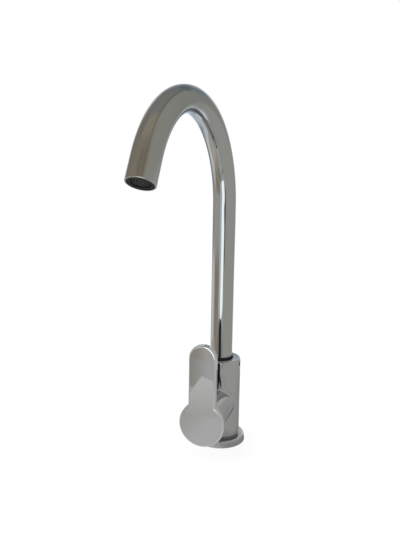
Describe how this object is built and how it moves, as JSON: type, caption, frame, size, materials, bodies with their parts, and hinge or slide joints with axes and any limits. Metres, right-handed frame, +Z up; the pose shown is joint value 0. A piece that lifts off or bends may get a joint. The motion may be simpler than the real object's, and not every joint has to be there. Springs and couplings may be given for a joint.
{
  "type": "gooseneck bar faucet",
  "caption": "Single-lever bar tap: column body with a side cartridge and flat upright lever, and a tall swivelling gooseneck spout with a recessed aerator.",
  "frame": {"origin": "centre of the base flange's underside, where the column axis meets the deck", "axes": "+Z up along the column; the cartridge and lever point to -Y; the spout reaches over the lever, a few degrees towards -X; +X is to the right seen from the lever side"},
  "size_m": [0.0574, 0.2334, 0.3775],
  "materials": {
    "chrome_body": "polished chrome plate on brass",
    "chrome_spout": "polished chrome plate on a drawn tube",
    "chrome_lever": "polished chrome plate on a zinc casting",
    "chrome_trim": "polished chrome plate",
    "brass": "turned brass",
    "steel": "stainless steel",
    "dark_plastic": "moulded black acetal",
    "light_plastic": "moulded white plastic",
    "grey_plastic": "moulded grey plastic",
    "rubber": "black sealing rubber",
    "ceramic": "lapped alumina"
  },
  "bodies": {
    "tap_body": {"body_casting": "chrome_body", "base_flange": "chrome_body", "base_gasket": "rubber", "body_seat_ring": "dark_plastic", "spout_grub_screw": "steel", "cartridge_shell": "light_plastic", "cartridge_base": "grey_plastic", "port_seals": "rubber", "disc_gasket": "rubber", "fixed_disc": "ceramic", "retaining_nut": "brass", "cartridge_cover": "chrome_trim"},
    "mixer": {"stem_guide": "grey_plastic", "stem_pivot_pin": "steel"},
    "carriage": {"moving_disc": "ceramic", "disc_carrier": "grey_plastic"},
    "lever": {"lever_handle": "chrome_lever", "stem": "steel", "lever_grub_screw": "steel", "lever_plug": "grey_plastic"},
    "spout": {"spout_tube": "chrome_spout", "spout_foot": "brass", "spout_o_rings": "rubber", "lower_slip_ring": "dark_plastic", "upper_slip_ring": "dark_plastic", "outlet_sleeve": "brass", "aerator_housing": "dark_plastic", "aerator_washer": "rubber", "aerator_grid": "dark_plastic", "aerator_screens": "steel", "flow_limiter": "light_plastic"}
  },
  "joints": [
    {"name": "spout_swivel", "type": "hinge", "parent": "tap_body", "child": "spout", "pos_m": [0, 0, 0.08], "axis": [0, 0, 1], "continuous": true},
    {"name": "temperature_turn", "type": "hinge", "parent": "tap_body", "child": "mixer", "pos_m": [0, -0.05, 0.0464], "axis": [0, -1, 0], "range_deg": [-50, 50]},
    {"name": "lever_tilt", "type": "hinge", "parent": "mixer", "child": "lever", "pos_m": [0, -0.05, 0.0464], "axis": [1, 0, 0], "range_deg": [0, 25]},
    {"name": "disc_slide", "type": "slide", "parent": "mixer", "child": "carriage", "axis": [0, 0, 1], "range_m": [0, 0.0039]}
  ],
  "couplings": [
    {"joint": "disc_slide", "follows": "lever_tilt", "m_per_rad": 0.008717}
  ]
}
